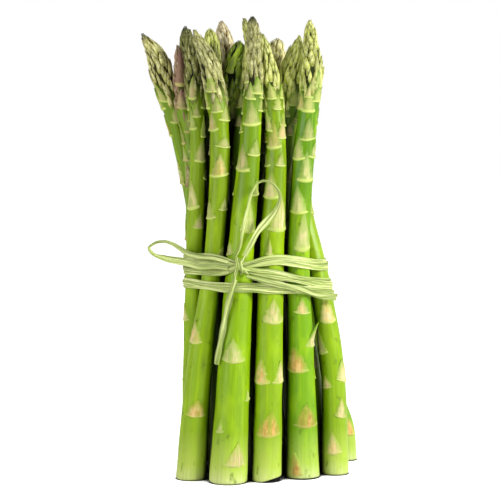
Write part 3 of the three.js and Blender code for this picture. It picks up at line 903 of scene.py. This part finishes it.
    # Painted shade: the skin is darkened where little light gets in between the spears, less so up in the
    # heads.
    low, full = skinRises["open"]
    high = add("MapRange", {0: height, 1: low, 2: full})
    light = add("Math", {0: openSky, 1: high}, operation="ADD")
    paintedShade = add("MapRange", {0: light, 1: 0.08, 2: 0.38, 3: 0.015, 4: 1.0})
    colour = add("VectorMath", {0: colour, "Scale": paintedShade}, operation="SCALE")
    bump = add("Bump", {"Height": line, "Strength": 0.35, "Distance": 0.15 * mm})
    # The stem is waxy, but inside the head it is dull, and so are the papery scale leaves.
    stemRough = add("MapRange", {0: height, 1: coreLow, 2: coreHigh, 3: 0.38, 4: 1.0})
    roughness = add("Mix", {0: isLeaf, 2: stemRough, 3: 0.65}, data_type="FLOAT")
    surface = add("BsdfPrincipled", {
        "Base Color": colour, "Roughness": roughness, "IOR": 1.4, "Specular IOR Level": 0.4, "Normal": bump})
    add("OutputMaterial", {"Surface": surface})
    return material


spearSkins = {name: makeSpearSkin(name, {**leafColours, **own}) for name, own in skinColours.items()}

# Inside the head the core is slimmer, so that the scale leaves close round it: how far above and below
# the neck it slims, and its shares of the radius at the neck and above.
headCore = {"reach": 12, "neck": 0.98, "above": 0.9}

# Rows and columns of points in a stem, a scale leaf and a pod, on the outer spears and the inner ones.
pointCounts = {"outer": ((120, 40), (15, 11), (9, 10)), "inner": ((80, 28), (8, 7), (7, 8))}

for index, (name, look) in enumerate(spears.items()):
    shape = spearShapes["spear_" + name]
    reach, neck = headCore["reach"], shape["neck"]
    core = smoothThrough([0, neck - reach, neck, neck + reach, shape["tip"]], [
        [1], [1], [headCore["neck"]], [headCore["above"]], [headCore["above"]]])
    shape["core"] = lambda z, core=core: core(z)[..., 0]
    shape["openness"] = readOpenness(shape)
    shape["hue"] = look.get("hue", 0.0)
    shape["darkTip"] = look.get("darkTip", 0.3)
    rng = random.Random(seeds["spear"] + index)
    inside = name.startswith(("inner", "core"))
    stemSize, leafSize, podSize = pointCounts["inner" if inside else "outer"]
    parts = []
    addStem(parts, shape, stemSize, rng, look)
    growLeaves(parts, shape, look, rng, leafSize, podSize)
    skin = look.get("skin", "green")
    buildPiece("asparagus_" + name, parts, spearSkins[skin], "spear_" + name)
print("spears grown:", len(spears))


# Stage: a pale floor, a soft light from the front right, a bigger, weaker one from the front left, and
# a pale wall behind.

stageLook = {
    "floorSize": 6.0,  # in metres
    "floorDrop": 0.05,  # how far the floor lies below the cut ends, in millimetres
    "floorColours": [(0.3, "#f1f1ef"), (0.7, "#f4f4f2")],
    "floorClouds": 15,  # the size of the paper's faint clouds, in millimetres
    "glow": 0.8,  # how white the floor looks before any light falls on it
    "backdrop": 0.8,  # the light that comes from the pale wall behind
    "room": 0.12,  # and from the dark room in front
    "wallEdges": (-0.1, 0.6),  # and where one gives way to the other
    # Painted shadow on the floor: a dark line about 2 mm wide under the cut ends, and a darker floor
    # between them. Each painted shadow is (how far it looks for them, and the shares of open sky where
    # the floor is dark and lit).
    "paintedShadows": [(4, 0.5, 0.75), (30, 0.3, 0.45)],
    # Each light is (place, size, watts), in millimetres, and points at this height on the bundle.
    "lights": {"key": ((800, -470, 560), 420, 15), "fill": ((-760, -600, 420), 600, 6.0)},
    "lightsAim": 95,
}

floorMaterial, add, *_ = newMaterial("matt white paper sweep")
clouds = stageLook["floorSize"] / (stageLook["floorClouds"] * mm)
grain = add("TexNoise", {"Scale": clouds, "Detail": 2})
paper = add("ValToRGB", {0: grain}, stops=stageLook["floorColours"])
# Painted shadow: the paper and its glow are darkened where the cut ends hide the sky.
paintedShadows = []
for reach, dark, clear in stageLook["paintedShadows"]:
    sky = add("AmbientOcclusion", {"Distance": reach * mm}).outputs["AO"]
    paintedShadows.append(add("MapRange", {0: sky, 1: dark, 2: clear}))
lit = add("Math", {0: paintedShadows[0], 1: paintedShadows[1]}, operation="MULTIPLY")
paper = add("VectorMath", {0: paper, "Scale": lit}, operation="SCALE")
byEye = add("LightPath").outputs["Is Camera Ray"]
seen = add("Math", {0: byEye, 1: stageLook["glow"]}, operation="MULTIPLY")
glow = add("Math", {0: seen, 1: lit}, operation="MULTIPLY")
surface = add("BsdfPrincipled", {
    "Base Color": paper, "Roughness": 0.85,
    "Emission Color": (1, 1, 1, 1), "Emission Strength": glow})
add("OutputMaterial", {"Surface": surface})
half = stageLook["floorSize"] / 2
floorMesh = bpy.data.meshes.new("floor")
corners = [(-half, -half, 0), (half, -half, 0), (half, half, 0), (-half, half, 0)]
floorMesh.from_pydata(corners, [], [(0, 1, 2, 3)])
floorMesh.materials.append(floorMaterial)
floor = newObject("floor", floorMesh)
floor.location.z = -stageLook["floorDrop"] * mm

aim = Vector((0, 0, stageLook["lightsAim"] * mm))
for name, (place, size, watts) in stageLook["lights"].items():
    lamp = bpy.data.lights.new(name, "AREA")
    lamp.shape = "DISK"
    lamp.size = size * mm
    lamp.energy = watts
    light = newObject(name, lamp)
    light.location = Vector(place) * mm
    light.rotation_euler = (aim - light.location).to_track_quat("-Z", "Y").to_euler()

world = bpy.data.worlds.new("studio")
bpy.context.scene.world = world
world.use_nodes = True
world.node_tree.nodes.clear()
add = partial(addNode, world.node_tree)
byEye = add("LightPath").outputs["Is Camera Ray"]
way = add("TexCoord").outputs["Generated"]
back = add("SeparateXYZ", {0: way}).outputs["Y"]
inFront, behind = stageLook["wallEdges"]
wall = add("MapRange", {
    0: back, 1: inFront, 2: behind, 3: stageLook["room"], 4: stageLook["backdrop"]})
sky = add("Background", {"Color": (1, 1, 1, 1), "Strength": wall})
backdrop = add("Background", {"Color": (1, 1, 1, 1), "Strength": 1.0})
mixed = add("MixShader", {0: byEye, 1: sky, 2: backdrop})
add("OutputWorld", {"Surface": mixed})
bpy.context.scene.view_settings.view_transform = "Standard"
print("stage set")
